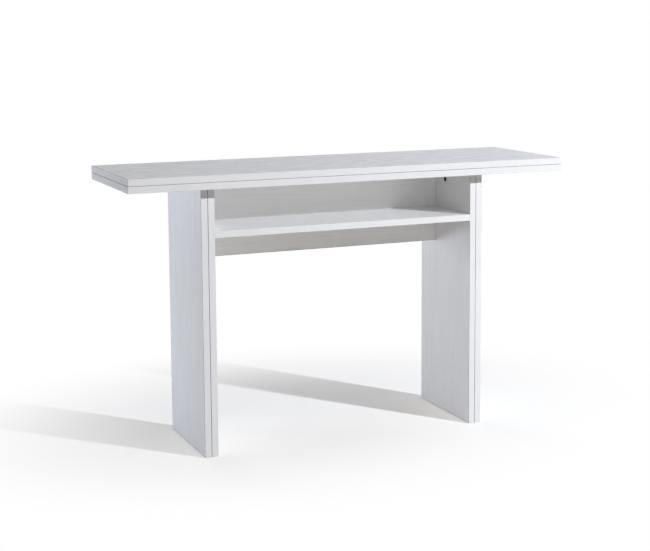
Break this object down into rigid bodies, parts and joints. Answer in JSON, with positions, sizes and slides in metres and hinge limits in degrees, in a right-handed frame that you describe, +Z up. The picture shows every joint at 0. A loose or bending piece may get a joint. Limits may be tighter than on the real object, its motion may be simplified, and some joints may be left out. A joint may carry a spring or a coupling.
{
  "type": "extending console table",
  "caption": "White wood-grain console table with a fold-over top, double panel legs that swing out to carry the opened leaf, a shelf and a back panel.",
  "frame": {"origin": "on the floor, under the middle of the folded top", "axes": "+Z up, +X along the top's length, -Y towards the front, where the shelf is open"},
  "size_m": [1.25, 0.3829, 0.76],
  "materials": {
    "white_melamine": "white melamine on chipboard, embossed with an ash grain, matt",
    "white_edging": "smooth white ABS edging, satin",
    "hinge_steel": "nickel-plated steel, satin",
    "screw_steel": "zinc-plated steel",
    "cam_zinc": "die-cast zinc, blackened",
    "bolt_steel": "zinc-plated steel",
    "beech": "bare beech, fluted",
    "glide_plastic": "off-white polyethylene"
  },
  "bodies": {
    "frame": {"back_panel": "white_melamine", "back_panel_cam_bolts": "bolt_steel", "back_panel_cam_locks": "cam_zinc", "back_panel_dowels": "beech", "back_panel_edging": "white_edging", "leaf_hinge_fixed_screws": "screw_steel", "leaf_hinge_left_fixed_plate": "hinge_steel", "leaf_hinge_middle_fixed_plate": "hinge_steel", "leaf_hinge_pins": "hinge_steel", "leaf_hinge_right_fixed_plate": "hinge_steel", "left_inner_leg": "white_melamine", "left_inner_leg_edging": "white_edging", "left_inner_leg_glides": "glide_plastic", "left_leg_hinge_fixed_screws": "screw_steel", "left_leg_hinge_lower_fixed_plate": "hinge_steel", "left_leg_hinge_pins": "hinge_steel", "left_leg_hinge_upper_fixed_plate": "hinge_steel", "leg_cam_bolts": "bolt_steel", "leg_cam_locks": "cam_zinc", "leg_dowels": "beech", "lower_leaf": "white_melamine", "lower_leaf_edging": "white_edging", "right_inner_leg": "white_melamine", "right_inner_leg_edging": "white_edging", "right_inner_leg_glides": "glide_plastic", "right_leg_hinge_fixed_screws": "screw_steel", "right_leg_hinge_lower_fixed_plate": "hinge_steel", "right_leg_hinge_pins": "hinge_steel", "right_leg_hinge_upper_fixed_plate": "hinge_steel", "shelf": "white_melamine", "shelf_cam_bolts": "bolt_steel", "shelf_cam_locks": "cam_zinc", "shelf_dowels": "beech", "shelf_edging": "white_edging"},
    "upper_leaf": {"leaf_hinge_left_swing_plate": "hinge_steel", "leaf_hinge_middle_swing_plate": "hinge_steel", "leaf_hinge_right_swing_plate": "hinge_steel", "leaf_hinge_swing_screws": "screw_steel", "upper_leaf": "white_melamine", "upper_leaf_edging": "white_edging"},
    "left_outer_leg": {"left_leg_hinge_lower_swing_plate": "hinge_steel", "left_leg_hinge_swing_screws": "screw_steel", "left_leg_hinge_upper_swing_plate": "hinge_steel", "left_outer_leg": "white_melamine", "left_outer_leg_edging": "white_edging", "left_outer_leg_glides": "glide_plastic"},
    "right_outer_leg": {"right_leg_hinge_lower_swing_plate": "hinge_steel", "right_leg_hinge_swing_screws": "screw_steel", "right_leg_hinge_upper_swing_plate": "hinge_steel", "right_outer_leg": "white_melamine", "right_outer_leg_edging": "white_edging", "right_outer_leg_glides": "glide_plastic"}
  },
  "joints": [
    {"name": "leaf_flip", "type": "hinge", "parent": "frame", "child": "upper_leaf", "pos_m": [0, 0.1904, 0.7416], "axis": [-1, 0, 0], "range_deg": [0, 180]},
    {"name": "left_leg_swing", "type": "hinge", "parent": "frame", "child": "left_outer_leg", "pos_m": [-0.3946, 0.1854, 0], "axis": [0, 0, -1], "range_deg": [0, 180]},
    {"name": "right_leg_swing", "type": "hinge", "parent": "frame", "child": "right_outer_leg", "pos_m": [0.3946, 0.1854, 0], "axis": [0, 0, 1], "range_deg": [0, 180]}
  ]
}
